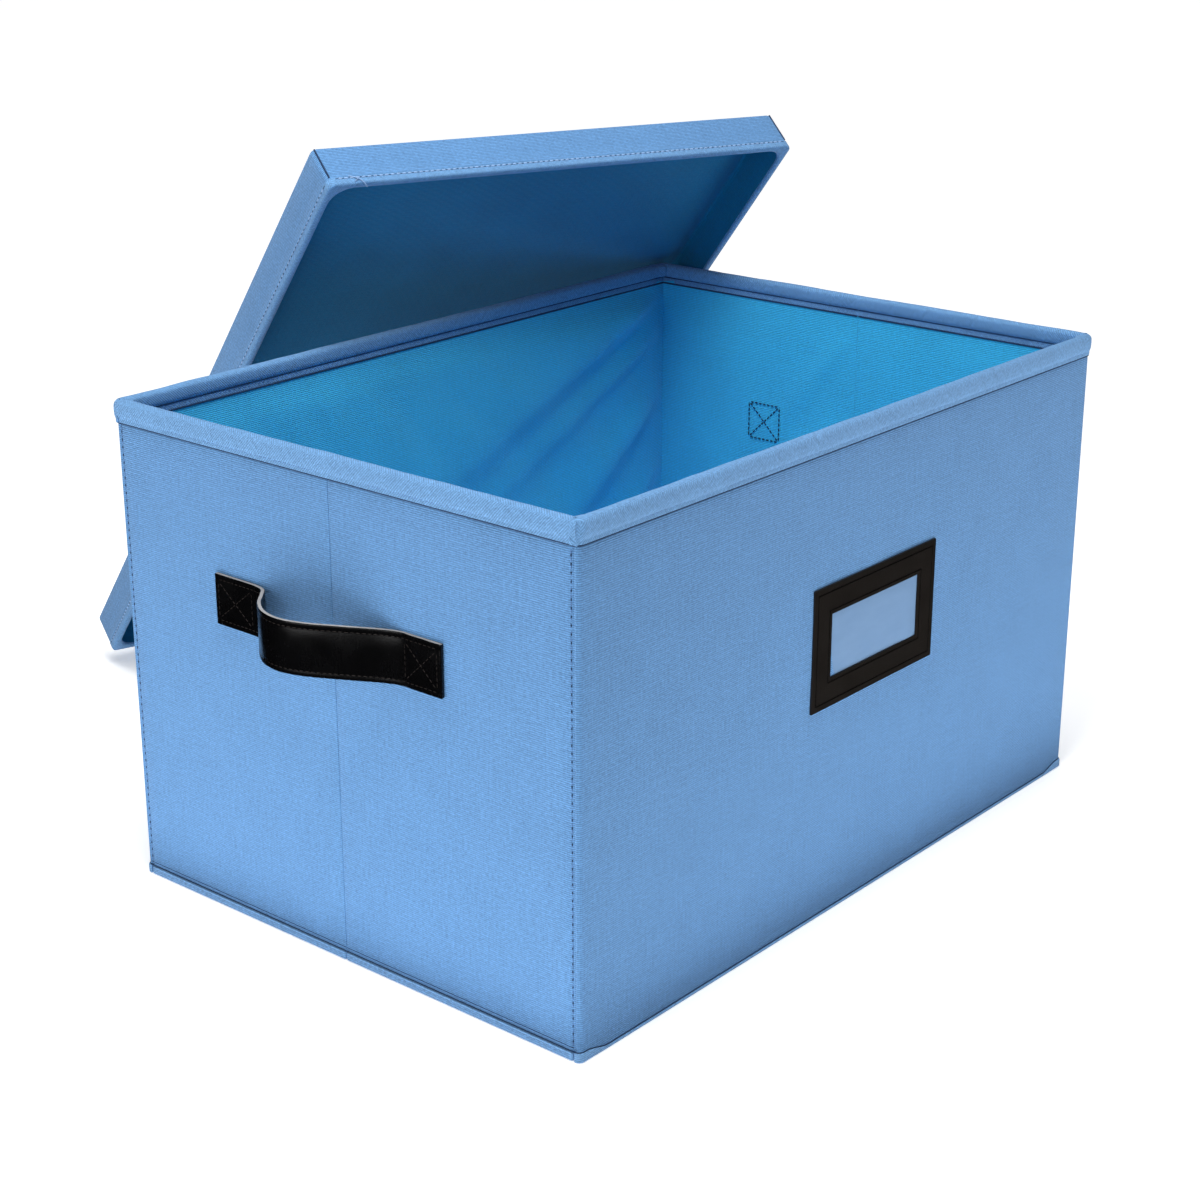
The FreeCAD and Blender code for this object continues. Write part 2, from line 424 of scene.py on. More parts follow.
def finish_of(name, tree, mapping, strength, depth, sheen=0.0, specular=0.5, turn=0.0, **values):
    """A material whose colour, height and roughness come from one of the shared groups."""
    m, b, shader = blank(name)
    node = b.node("Group")
    node.node_tree = tree
    source = b.coords(mapping)
    if turn:
        source = b.mapped(source, (1, 1, 1), turn)
    b.put(node.inputs["Map"], source)
    for key, value in values.items():
        node.inputs[key.replace("_", " ")].default_value = value
    bump = b.node("Bump")
    bump.inputs["Strength"].default_value = strength
    bump.inputs["Distance"].default_value = depth
    b.put(bump.inputs["Height"], node.outputs["Height"])
    b.put(shader.inputs["Base Color"], node.outputs["Colour"])
    b.put(shader.inputs["Roughness"], node.outputs["Roughness"])
    b.put(shader.inputs["Normal"], bump.outputs[0])
    shader.inputs["Sheen Weight"].default_value = sheen
    shader.inputs["Sheen Roughness"].default_value = 0.5
    shader.inputs["Specular IOR Level"].default_value = specular
    return m


def canvas(name, colour, turn=0.0, sheen=0.12, threads=1000.0, slub=0.26, mottle=0.12, contrast=0.5):
    return finish_of(name, WOVEN, "UV", 0.55, 0.00035, sheen=sheen, specular=0.2, turn=turn,
                     Colour=(*colour, 1), Threads_per_metre=threads, Slub=slub, Mottle=mottle,
                     Contrast=contrast)


CANVAS = canvas("blue_canvas", (0.102, 0.244, 0.475), contrast=0.6)
RIM_BAND = canvas("blue_rim_band", (0.130, 0.285, 0.52), turn=math.radians(45), contrast=0.45)
# painted light: the base strip's canvas is lighter than the walls' to stand in for light bounced up from the
# floor
FLOOR_LIT_BASE_CANVAS = canvas("blue_base_canvas_painted_floor_light", (0.17, 0.35, 0.62))
LINING = canvas("cyan_lining", (0.04, 0.465, 0.77), slub=0.14, mottle=0.2, contrast=0.55, sheen=0.3)
# painted shade: the lid's lining is a darker copy of the crate's lining, standing in for the shade inside the
# lid
SHADED_LID_LINING = canvas("lid_lining_painted_shade", (0.0, 0.15, 0.31), slub=0.15, mottle=0.35, contrast=0.35)
LEATHER = finish_of("black_strap_leather", GRAIN, "UV", 0.2, 0.0001, specular=0.35,
                    Colour=(0.0015, 0.0015, 0.0018, 1), Cell_size=1500.0, Polish=0.25)
CUT_EDGE = finish_of("pale_cut_edge", GRAIN, "UV", 0.5, 0.0002, specular=0.3,
                     Colour=(0.30, 0.29, 0.28, 1), Cell_size=2500.0, Polish=0.7)
LABEL_LEATHER = finish_of("brown_black_label_leather", GRAIN, "UV", 0.35, 0.0001, specular=0.3,
                          Colour=(0.0125, 0.010, 0.0085, 1), Cell_size=1300.0, Polish=0.45)


def thread(name, colour, rough=0.6):
    """Twisted sewing thread."""
    m, b, shader = blank(name)
    twist = b.node("TexWave")
    twist.bands_direction = "DIAGONAL"
    b.put(twist.inputs["Vector"], b.coords("Object"))
    twist.inputs["Scale"].default_value = 700.0
    twist.inputs["Distortion"].default_value = 1.0
    dark = tuple(c * 0.6 for c in colour)
    b.put(shader.inputs["Base Color"], b.mix(twist.outputs["Fac"], (*dark, 1), (*colour, 1)))
    shader.inputs["Roughness"].default_value = rough
    return m


BLUE_THREAD = thread("blue_thread", (0.15, 0.30, 0.62))
NAVY_THREAD = thread("navy_thread", (0.01, 0.03, 0.08))
# painted shade: dark cords laid in the gaps and grooves at the seams, where shade falls
PAINTED_SEAM_SHADE = thread("painted_seam_shade", (0.022, 0.055, 0.13), 0.9)
PALE_THREAD = thread("pale_blue_thread", (0.30, 0.48, 0.78))
BLACK_THREAD = thread("black_thread", (0.022, 0.016, 0.014), 0.5)
# painted shade: black cords laid in the label frame's two seam grooves
LABEL_GROOVE_SHADE = thread("painted_label_groove_shade", (0.001, 0.001, 0.001), 0.7)


def pressed_board():
    m, b, shader = blank("pressed_board")
    fibre = b.noise(b.mapped(b.coords("Object"), (1, 4, 2)), 400.0, 5.0, 0.7)
    b.put(shader.inputs["Base Color"], b.mix(fibre, (0.26, 0.19, 0.12, 1), (0.42, 0.33, 0.23, 1)))
    shader.inputs["Roughness"].default_value = 0.85
    return m


def clear_film():
    m, b, shader = blank("clear_film")
    smear = b.noise(b.mapped(b.coords("UV"), (1, 2.5, 1)), 45.0, 4.0, 0.6)
    b.put(shader.inputs["Roughness"], b.math("MULTIPLY_ADD", smear, 0.2, 0.05))
    b.put(shader.inputs["Alpha"], b.math("MULTIPLY_ADD", smear, 0.14, 0.62))
    shader.inputs["Base Color"].default_value = (0.24, 0.40, 0.64, 1)
    shader.inputs["Specular IOR Level"].default_value = 0.7
    return m


BOARD = pressed_board()
FILM = clear_film()


# ---- stitching ---------------------------------------------------------------

def stitch_row(a, b, pitch=0.0032, length=0.0022, thick=0.00028, out=(0, 1, 0)):
    """One row of thread stitches from a to b, lying on a face that looks along out."""
    a, b, out = Vector(a), Vector(b), Vector(out)
    along = (b - a).normalized()
    count = max(1, int((b - a).length / pitch))
    bpy.ops.mesh.primitive_uv_sphere_add(segments=6, ring_count=4, radius=0.5)
    one = bpy.context.object
    side = out.cross(along)
    basis = Matrix((along, side, out)).transposed().to_4x4()
    size = Matrix.Diagonal((length, thick * 1.3, thick, 1))
    start = a + along * ((b - a).length - pitch * (count - 1)) / 2
    stand(one, Matrix.Translation(start) @ basis @ size)
    finish_with(one, "ARRAY", count=count, use_relative_offset=False, use_constant_offset=True,
                constant_offset_displace=along * pitch)
    return one


def rod(a, b, thick):
    """A thin cord laid in a seam, from a to b."""
    a, b = Vector(a), Vector(b)
    bpy.ops.mesh.primitive_cylinder_add(vertices=6, radius=thick / 2, depth=(b - a).length)
    turn = (b - a).to_track_quat("Z", "Y").to_matrix().to_4x4()
    return stand(bpy.context.object, Matrix.Translation((a + b) / 2) @ turn)


def joined(name, pieces, material):
    only(pieces[0])
    for p in pieces:
        p.select_set(True)
    if len(pieces) > 1:
        bpy.ops.object.join()
    obj = bpy.context.object
    call(obj, name)
    soften(obj, 60)
    dress(obj, material)
    return obj


# ---- walls -------------------------------------------------------------------

def foot_drop(x):
    """How far a long wall's canvas reaches below its corners, between them."""
    return 0.0034 * smooth_edge(x, 0.004 - HX, HX - 0.004, 0.016)


def wall_canvas(name, side, u0, u1, radii, seams, seed, pucker=0.0):
    """Outer canvas of one wall: drawn over the board's face and folded round its edges."""
    obj = block(name, u0, u1, 0.0004, WALL_T, WALL_Z0, WALL_TOP)
    edit(obj)
    cut_away(obj, lambda f: f.normal.y < -0.9 or f.normal.z > 0.9)
    for place, radius in zip((u0, u1), radii):
        if radius:
            round_off(obj, lambda e: abs((e.verts[0].co - e.verts[1].co).z) > 0.1
                      and min(v.co.y for v in e.verts) > WALL_T - 1e-5
                      and abs(e.verts[0].co.x - place) < 1e-5, radius, 4)
    round_off(obj, lambda e: max(v.co.z for v in e.verts) < WALL_Z0 + 1e-5
              and min(v.co.y for v in e.verts) > WALL_T - 1e-5, 0.0006, 2)
    leave()
    near_seam = [s + d for s in seams for d in (-0.0022, -0.0011, 0.0, 0.0011, 0.0022)]
    cut_stations(obj, 0, spread(u0, u1, 0.0085) + [u for u in near_seam if u0 < u < u1])
    cut_stations(obj, 2, spread(WALL_Z0, WALL_TOP, 0.0085)
                 + [BIND_Z0 + d for d in (-0.0024, -0.0013, -0.0004, 0.0006)])

    def ease(p):
        if p.y > WALL_T - 0.0004:
            quiet = smooth_edge(p.x, u0, u1, 0.03) * smooth_edge(p.z, WALL_Z0, BIND_Z0, 0.03)
            p.y += quiet * (0.0003 + 0.0005 * ripple(p, 0.055, seed) + 0.00025 * ripple(p, 0.02, seed))
            for s in seams:
                p.y -= 0.0006 * math.exp(-((p.x - s) / 0.0015) ** 2)
                p.y += 0.00022 * math.exp(-((abs(p.x - s) - 0.004) / 0.003) ** 2)
            p.y -= 0.0004 * math.exp(-((p.z - BIND_Z0 + 0.0004) / 0.0007) ** 2)
            if pucker:
                p.y += tuck(p.x - pucker, p.z)
        if radii[0] > 0.002 and p.z < WALL_Z0 + 0.001:
            p.z -= foot_drop(p.x)
        if radii[0] > 0.002 and abs(p.x) > HX - 0.0002:
            p.x -= math.copysign(0.0005 * math.exp(-((p.y - 0.0004) / 0.0013) ** 2), p.x)
        return p

    def tuck(across, z):
        """Short creases that fan out under the band, where the corner is sewn."""
        down = (BIND_Z0 - z) / 0.03
        if not 0 < down < 1:
            return 0.0
        away = -across * math.copysign(1, pucker)
        lift = 0.0
        for slope, gain in ((0.25, 0.0004), (0.75, 0.0005), (1.5, 0.00035)):
            lift += gain * math.exp(-((away - 0.004 - slope * down * 0.03) / 0.0028) ** 2)
        return lift * (1 - down) * min(1.0, max(0.0, away / 0.004))

    move_points(obj, ease)
    face_out(obj)
    finish_with(obj, "SOLIDIFY", thickness=0.0004, offset=-1)
    cover_with(obj, CANVAS)
    return stand(obj, SIDES[side])


def wall_lining(name, side, u0, u1, fold, seed, fan=()):
    """Inner lining: hangs against the board, with soft folds that run down from a corner."""
    z0, z1 = WALL_Z0 + 0.0006, BIND_Z0 + 0.0015
    obj = cloth_grid(name, u0, u1, z0, z1, 0.0, 0.0036)

    def ease(p):
        quiet = smooth_edge(p.x, u0, u1, 0.022) * smooth_edge(p.z, z0, z1, 0.022)
        slant = p.x * 0.72 + p.z * 0.69
        length = p.z * 0.72 - p.x * 0.69
        sway = noise.noise(Vector((slant / 0.030 + seed, length / 0.16, seed)))
        tuck = noise.noise(Vector((slant / 0.013 + seed, length / 0.07, seed + 5)))
        p.y -= fold * quiet * max(0.1, 0.55 + 0.75 * sway + 0.28 * tuck)
        for drop, angle, soft, sharp, height, reach in fan:
            du, dz = u1 - p.x, z1 - drop - p.z
            away = math.hypot(du, dz)
            off = away * math.sin(math.atan2(dz, du) - math.radians(angle))
            if abs(math.atan2(dz, du) - math.radians(angle)) > 1.4:
                continue
            along = min(1.0, away / 0.035) * max(0.0, 1 - away / reach) ** 0.7
            width = (sharp if off > 0 else soft) * (0.4 + away / 0.14)
            p.y -= height * along * math.exp(-(off / width) ** 2)
        return p

    def pinned(p):
        before = p.y
        p = ease(p)
        hold = smooth_edge(p.x, u0, u1, 0.006) * smooth_edge(p.z, z0, z1, 0.018)
        p.y = before + (p.y - before) * hold
        if p.z > BIND_Z0:
            p.z -= 0.0012 * (1 - smooth_edge(p.x, u0, u1, 0.008))
        return p

    move_points(obj, pinned)
    all_over(obj, bpy.ops.mesh.flip_normals)
    finish_with(obj, "SOLIDIFY", thickness=0.0003, offset=-1)
    cover_with(obj, LINING, 60)
    return stand(obj, SIDES[side])


# folds that run down from a corner: start below the rim, angle, soft side, sharp side, height, reach
BACK_FAN = ((0.004, 21, 0.030, 0.010, 0.0080, 0.42), (0.028, 25, 0.012, 0.0070, 0.0040, 0.28),
            (0.066, 36, 0.020, 0.0100, 0.0046, 0.32), (0.110, 45, 0.016, 0.0090, 0.0028, 0.24))
END_FAN = ((0.010, 50, 0.012, 0.006, 0.0011, 0.16), (0.060, 35, 0.012, 0.007, 0.0012, 0.14))


def rim_roll(name, side, u0, u1, wraps_ends, seed):
    """Bias-cut band folded over the top edge of a wall."""
    over = RIM_PROUD if wraps_ends else 0.0
    inner = -0.0009
    outer = WALL_T + RIM_PROUD
    obj = block(name, u0 - over, u1 + over, inner, outer, BIND_Z0, CRATE_H)
    edit(obj)
    cut_away(obj, lambda f: f.normal.z < -0.9)
    if wraps_ends:
        round_off(obj, lambda e: abs((e.verts[0].co - e.verts[1].co).z) > 0.005
                  and min(v.co.y for v in e.verts) > outer - 1e-5, 0.0046, 7)
    round_off(obj, lambda e: len(e.link_faces) == 2
              and sum(f.normal.z > 0.9 for f in e.link_faces) == 1
              and (wraps_ends or abs(e.verts[0].co.x - e.verts[1].co.x) > 1e-5), 0.0023, 5)
    leave()
    reach = IX if wraps_ends else IY
    near_ends = [s * (reach - d) for s in (-1, 1) for d in (-0.001, 0.0006, 0.002, 0.0035, 0.0055)]
    cut_stations(obj, 0, spread(u0, u1, 0.0045) + near_ends)
    cut_stations(obj, 2, [BIND_Z0 + d for d in (0.0007, 0.0014, 0.0020, 0.0025, 0.0031, 0.0037,
                                                0.0046, 0.0058, 0.007)])
    ends = (-reach, reach)

    def ease(p):
        across = (p.y - inner) / (outer - inner)
        if across < 0.15:
            p.y += 0.0005 * (1 - smooth_edge(p.x, ends[0], ends[1], 0.016))
        lump = ripple(p, 0.011, seed) * 0.00022 + ripple(p, 0.045, seed) * 0.0003
        free = smooth_edge(p.x, ends[0], ends[1], 0.006)
        p.z += free * lump * (1 if p.z > CRATE_H - 0.004 else 0.5)
        lip = max(0.0, 1 - (p.z - BIND_Z0) / 0.004) ** 1.5
        sewn = math.exp(-((p.z - BIND_Z0 - BAND_STITCH) / 0.0009) ** 2)
        belly = math.sin(math.pi * min(1.0, max(0.0, (p.z - BIND_Z0 - 0.002) / 0.0095)))
        push = free * lump * 0.7 - 0.0004 * lip - 0.0002 * sewn + 0.0005 * belly
        tucked = min(1.0, max(0.0, (abs(p.x) - reach + RIM_PROUD / 2) / 0.0034))
        if p.y > WALL_T:
            p.y += push
        elif across < 0.15:
            p.y -= push - 0.0006 * math.exp(-((p.z - BIND_Z0 - INNER_SEAM) / 0.0008) ** 2)
            if wraps_ends and p.z > BIND_Z0 + 0.0035:
                p.y -= 0.0024 * math.exp(-((abs(p.x) - IX + 0.0016) / 0.0032) ** 2)
        if wraps_ends and abs(p.x) > HX + 0.0008:
            p.x += math.copysign(push, p.x)
        if not wraps_ends:
            p.y += tucked * (0.0005 if p.y < WALL_T / 2 else -0.0005)
            p.z -= tucked * 0.0005
        return p

    move_points(obj, ease)
    face_out(obj)
    finish_with(obj, "SOLIDIFY", thickness=0.0005, offset=-1)
    cover_with(obj, RIM_BAND, 50)
    return stand(obj, SIDES[side])


def on_wall(obj, side):
    return stand(obj, SIDES[side])


def rim_stitching(side, u0, u1):
    """The band's two rows of stitches, outside and inside."""
    z = BIND_Z0 + BAND_STITCH
    outside = stitch_row((u0, WALL_T + 0.0008, z), (u1, WALL_T + 0.0008, z))
    inside = stitch_row((u0, -0.0006, z), (u1, -0.0006, z), out=(0, -1, 0))
    return [on_wall(outside, side), on_wall(inside, side)]


def inner_lines(u0, u1):
    """Inside the crate: painted shade cords in the gap under the band and in the sunk seam that holds the
    band.
    """
    seam = BIND_Z0 + INNER_SEAM
    return [rod((u0, -0.0004, UNDER_BAND), (u1, -0.0004, UNDER_BAND), 0.0010),
            rod((u0, -0.0005, seam), (u1, -0.0005, seam), 0.0007)]


def seam_shadow(side, u0, u1):
    """Dark cords: painted shade in the gap under the band, and dark lines along the foot of the wall."""
    face = WALL_T + 0.0001
    made = [rod((u0, face, z), (u1, face, z), thick)
            for z, thick in ((UNDER_BAND, 0.0008), (WALL_Z0, 0.00045), (WALL_Z0 + 0.0019, 0.0003))]
    made += inner_lines(u0, u1)
    return [on_wall(cord, side) for cord in made]


def line_of_rods(points, thick):
    return [rod(p, q, thick) for p, q in zip(points, points[1:])]


def long_wall_shadow(side):
    """The same two dark lines on a long wall, carried round its corners: painted shade under the band, and a
    dark line along the foot.
    """
    face = 0.0028
    bend = [(HX - 0.0027 + face * math.sin(t), WALL_T - 0.0027 + face * math.cos(t))
            for t in (0, 0.4, 0.8, 1.2, math.pi / 2)] + [(HX + 0.0001, 0.0002)]
    path = [(-x, y) for x, y in reversed(bend)]
    path += [(u, WALL_T + 0.0001) for u in spread(0.003 - HX, HX - 0.003, 0.0035)]
    path += bend
    upper = [(x, y, UNDER_BAND) for x, y in path]
    lower = [(x, y, WALL_Z0 - foot_drop(x)) for x, y in path]
    made = line_of_rods(upper, 0.0008) + line_of_rods(lower, 0.0005)
    made += inner_lines(0.001 - IX, IX - 0.001)
    return [on_wall(cord, side) for cord in made]


def cross_box(side, u0, u1, z0, z1, y, out, thick=0.00042):
    """A box of stitches crossed corner to corner, where a strap is sewn on."""
    a, b, c, d = (u0, y, z0), (u1, y, z0), (u1, y, z1), (u0, y, z1)
    rows = [(a, b), (b, c), (c, d), (d, a), (a, c), (b, d)]
    made = [stitch_row(p, q, pitch=0.0029, length=0.0024, thick=thick, out=out) for p, q in rows]
    return [on_wall(row, side) for row in made]


def turned_edge(name, side):
    """The canvas turned in behind a long wall's two ends, seen only when the crate is folded."""
    halves = []
    for sign in (-1, 1):
        u0, u1 = sorted((sign * (IX - 0.0008), sign * (HX - 0.0003)))
        half = block(name, u0, u1, -0.0001, 0.0006, WALL_Z0 + 0.0006, WALL_TOP)
        ease_edges(half, 0.0002, 2)
        unwrap(half)
        halves.append(half)
    edge = joined(name, halves, CANVAS)
    soften(edge, 50)
    return on_wall(edge, side)


def long_walls():
    for seed, side in ((1.3, "front"), (7.9, "back")):
        wall = side + "_wall"
        cover = wall_canvas(wall + "_canvas", side, -HX, HX, (0.0027, 0.0027), (), seed,
                            pucker=HX if side == "front" else -HX)
        fix_to(cover, wall, "outer_canvas", wall + "_cover")
        edge = turned_edge(wall + "_turned_edge", side)
        fix_to(edge, wall, "outer_canvas")
        fold = 0.0016 if side == "back" else 0.0011
        fan = BACK_FAN if side == "back" else END_FAN
        lining = wall_lining(wall + "_inner_cloth", side, 0.0003 - IX, IX - 0.0003, fold, seed, fan)
        fix_to(lining, wall, "inner_lining", wall + "_lining")
        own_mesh(lining)
        band = rim_roll(wall + "_rim_roll", side, -HX, HX, True, seed)
        fix_to(band, wall, "rim_band", wall + "_rim_binding")
        rows = rim_stitching(side, 0.006 - HX, HX - 0.006)
        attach(joined(wall + "_stitching", rows, BLUE_THREAD), wall)
        dark = long_wall_shadow(side)
        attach(joined(wall + "_seam_shadow", dark, PAINTED_SEAM_SHADE), wall)


def end_walls():
    spans = {"near": (GAP - IY, -0.00006), "far": (0.00006, IY - GAP)}
    for side, sign in (("left", 1), ("right", -1)):
        for seed, half in ((3.1, "near"), (5.7, "far")):
            body = f"{side}_end_{half}"
            a, b = spans[half]
            u0, u1 = (a, b) if sign > 0 else (-b, -a)
            if abs(u0) > abs(u1):
                u0, corner, radii = -END_REACH, -END_REACH, (0.0, 0.0005)
            else:
                u1, corner, radii = END_REACH, END_REACH, (0.0005, 0.0)
            seam = corner - math.copysign(0.0009, corner)
            seam_run = (seam, WALL_T - 0.0001, 0.0065), (seam, WALL_T - 0.0001, 0.2375)
            cover = wall_canvas(body + "_canvas", side, u0, u1, radii, (corner,), seed + sign)
            fix_to(cover, body, "outer_canvas", body + "_cover")
            lining = wall_lining(body + "_inner_cloth", side, u0, u1, 0.0008, seed + 2 * sign, END_FAN)
            fix_to(lining, body, "inner_lining", body + "_lining")
            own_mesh(lining)
            rows = rim_stitching(side, u0 + 0.0015, u1 - 0.0015)
            rows.append(on_wall(stitch_row(*seam_run), side))
            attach(joined(body + "_stitching", rows, BLUE_THREAD), body)
            dark = seam_shadow(side, u0 + 0.0003, u1 - 0.0003)
            dark.append(on_wall(stitch_row(*seam_run, pitch=0.0038, length=0.0016, thick=0.0005), side))
            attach(joined(body + "_seam_shadow", dark, PAINTED_SEAM_SHADE), body)
            tab = FAR_TAB if half == "far" else NEAR_TAB
            v0, v1 = sorted((sign * (tab[0] + 0.0015), sign * (tab[1] - 0.0015)))
            if v1 - v0 > 0.0225:
                v0, v1 = (v0 + v1) / 2 - 0.011, (v0 + v1) / 2 + 0.011
            box = cross_box(side, v0, v1, STRAP_Z - 0.0108, STRAP_Z + 0.0108, -0.0017, (0, -1, 0),
                            thick=0.0007)
            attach(joined(body + "_inner_cross_stitch", box, NAVY_THREAD), body)
        band = rim_roll(f"{side}_end_rim_roll", side, -IY - 0.0028, IY + 0.0028, False, 2.2 * sign)
        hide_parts(f"{side}_end_near_rim_binding", f"{side}_end_far_rim_binding")
        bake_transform(band)


# ---- base --------------------------------------------------------------------

def piping(name, x0, x1, y0, y1, z0, z1, corner_y=None):
    """Canvas wrapped round a board's edge, with soft edges all round."""
    obj = block(name, x0, x1, y0, y1, z0, z1)
    if corner_y is not None:
        edit(obj)
        round_off(obj, lambda e: abs((e.verts[0].co - e.verts[1].co).z) > 0.003
                  and abs(e.verts[0].co.y - corner_y) < 1e-5, 0.003, 4)
        leave()
    ease_edges(obj, 0.0011, 3)
    cut_stations(obj, 0, spread(x0, x1, 0.02) + [s * (HX - d) for s in (-1, 1)
                                                   for d in (0.002, 0.005, 0.009, 0.013, 0.017, 0.021)])
    if corner_y is not None:
        move_points(obj, lambda p: Vector((p.x, p.y, p.z - foot_drop(p.x) * p.z / z1)))
    cover_with(obj, FLOOR_LIT_BASE_CANVAS, 50)
    return obj


def base():
    half = HX + BASE_OVER
    for name, sign in (("front", -1), ("back", 1)):
        outer, inner = sign * (HY + BASE_OVER), sign * (IY + GAP)
        strip = piping(name + "_base_piping", -half, half, min(outer, inner), max(outer, inner),
                       0.0, 0.0048, corner_y=outer)
        fix_to(strip, name + "_wall", "outer_canvas", name + "_base_strip")
        body = "base_" + name
        y0, y1 = sorted((sign * 0.0001, sign * (IY - GAP)))
        wrap = piping(body + "_wrap", -half, half, y0, y1, 0.0, 0.0043)
        fix_to(wrap, body, "outer_canvas", body + "_cover")
        bpy.ops.mesh.primitive_grid_add(x_subdivisions=60, y_subdivisions=22, size=1,
                                        location=(0, (y0 + y1) / 2, 0.0046))
        floor = bpy.context.object
        floor.name = body + "_floor_cloth"
        floor.scale = (2 * IX - 0.001, y1 - y0, 1)
        settle(floor)

        def ease(p):
            quiet = smooth_edge(p.x, -IX, IX, 0.02) * smooth_edge(p.y, y0, y1, 0.02)
            p.z -= 0.00025 * quiet * (1 + ripple(p, 0.05, sign * 4.0))
            return p

        move_points(floor, ease)
        finish_with(floor, "SOLIDIFY", thickness=0.0003, offset=-1)
        cover_with(floor, LINING, 60)
        fix_to(floor, body, "inner_lining", body + "_lining")
        rows = [stitch_row((side * half, y0 + 0.002, 0.0026), (side * half, y1 - 0.002, 0.0026),
                           out=(side, 0, 0)) for side in (-1, 1)]
        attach(joined(body + "_stitching", rows, BLUE_THREAD), body)


# ---- straps ------------------------------------------------------------------

def smooth_route(points, per_span=10):
    """A smooth line through the points."""
    line = []
    for i in range(len(points) - 1):
        p0, p1 = Vector(points[max(i - 1, 0)]), Vector(points[i])
        p2, p3 = Vector(points[i + 1]), Vector(points[min(i + 2, len(points) - 1)])
        for k in range(per_span):
            t = k / per_span
            line.append(0.5 * ((2 * p1) + (p2 - p0) * t + (2 * p0 - 5 * p1 + 4 * p2 - p3) * t * t
                               + (3 * p1 - p0 - 3 * p2 + p3) * t ** 3))
    line.append(Vector(points[-1]))
    return line


class Route:
    """Lays a flat strap, length along X, onto a line in the plane across the wall."""

    def __init__(self, line):
        self.line = line
        self.run = [0.0]
        for a, b in zip(line, line[1:]):
            self.run.append(self.run[-1] + (b - a).length)
        self.length = self.run[-1]

    def at(self, s):
        s = max(0.0, min(self.length - 1e-9, s))
        i = max(k for k in range(len(self.run) - 1) if self.run[k] <= s)
        a, b = self.line[i], self.line[i + 1]
        t = (s - self.run[i]) / max(self.run[i + 1] - self.run[i], 1e-9)
        before = self.line[max(i - 1, 0)]
        after = self.line[min(i + 2, len(self.line) - 1)]
        along = ((b - before).normalized() * (1 - t) + (after - a).normalized() * t).normalized()
        return a.lerp(b, t), Vector((-along.y, along.x))

    def lay(self, p):
        at, up = self.at(p.x)
        return Vector((at.x + up.x * p.y, at.y + up.y * p.y, p.z))


STRAP_SEAM = 0.0101  # how far the edge seams lie from the strap's middle


def strap_route():
    t = 0.0012
    points = [(NEAR_TAB[0], t), (-0.060, t), (-0.051, t)] + LOOP + [(0.055, t), (0.066, t), (FAR_TAB[1], t)]
    return Route(smooth_route([(u, WALL_T + v) for u, v in points]))


def strap(side, sign):
    route = strap_route()
    thick = 0.0022
    obj = block(f"{side}_strap", 0, route.length, -thick / 2, thick / 2, -STRAP_W / 2, STRAP_W / 2)
    ease_edges(obj, 0.00065, 3)
    cut_stations(obj, 0, spread(0, route.length, 0.0016))
    cut_stations(obj, 2, [-0.0106, -0.0101, -0.0096, 0.0096, 0.0101, 0.0106])
    unwrap(obj)
    dress(obj, LEATHER, CUT_EDGE)
    for f in obj.data.polygons:
        f.material_index = 1 if abs(f.normal.z) > 0.95 else 0

    def press(p):
        """Sinks the leather along the two edge seams."""
        groove = 0.00025 * math.exp(-((abs(p.z) - STRAP_SEAM) / 0.0004) ** 2)
        p.y += -groove if p.y > 0 else groove
        return p

    move_points(obj, press)
    sunk = thick / 2 - 0.0001
    runs = [((0.002, sunk, z), (route.length - 0.002, sunk, z)) for z in (-STRAP_SEAM, STRAP_SEAM)]
    inset = 0.0025
    spans = ((inset, NEAR_TAB[1] - NEAR_TAB[0] - inset),
             (route.length - (FAR_TAB[1] - FAR_TAB[0]) + inset, route.length - inset))
    for s0, s1 in spans:
        y, z = thick / 2, 0.0092
        a, b, c, d = (s0, y, -z), (s1, y, -z), (s1, y, z), (s0, y, z)
        runs += [(b, c), (d, a), (a, c), (b, d)]
    rows = [stitch_row(p, q, pitch=0.0027, length=0.0021, thick=0.0003) for p, q in runs]
    sewn = joined(f"{side}_strap_stitching", rows, BLACK_THREAD)
    for piece in (obj, sewn):
        move_points(piece, route.lay)
        if sign < 0:
            move_points(piece, lambda p: Vector((-p.x, p.y, p.z)))
        move_points(piece, lambda p: Vector((p.x, p.y, p.z + STRAP_Z)))
        all_over(piece, bpy.ops.mesh.normals_make_consistent, inside=False)
        stand(piece, SIDES[side])
        soften(piece, 50)
        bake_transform(piece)
    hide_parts(f"{side}_handle_near_tab", f"{side}_handle_loop", f"{side}_handle_far_tab")


# ---- label holder ------------------------------------------------------------

def label_holder():
    """Folded-edge leather frame with a clear window; the front wall's panel frame runs towards -X."""
    u = -LABEL_X
    back, top = WALL_T, WALL_T + 0.0014
    bpy.ops.mesh.primitive_plane_add(size=1, location=(u, top, LABEL_Z), rotation=(-math.pi / 2, 0, 0))
    obj = bpy.context.object
    obj.name = "label_leather_frame"
    obj.scale = (LABEL_L, LABEL_H, 1)
    settle(obj)
    edit(obj)
    bpy.ops.mesh.select_all(action="SELECT")
    bpy.ops.mesh.normals_make_consistent(inside=False)
    steps = [0.0028, 0.0004, 0.0004, (LABEL_H - WINDOW_H) / 2 - 0.0036 - 0.0026, 0.0004, 0.0004, 0.0018]
    for step in steps:
        bpy.ops.mesh.inset(thickness=step, use_even_offset=True)
    leave()
    edit(obj)
    cut_away(obj, lambda f: f.calc_area() > 0.0015)
    leave()

    def press(p):
        du = LABEL_L / 2 - abs(p.x - u)
        dz = LABEL_H / 2 - abs(p.z - LABEL_Z)
        d = min(du, dz)
        for g in LABEL_SEAMS:
            if abs(d - g) < 0.0002:
                p.y -= 0.00045
        return p

    move_points(obj, press)
    all_over(obj, bpy.ops.mesh.extrude_region_move,
             TRANSFORM_OT_translate={"value": (0, back - top, 0)})
    all_over(obj, bpy.ops.mesh.normals_make_consistent, inside=False)
    return obj


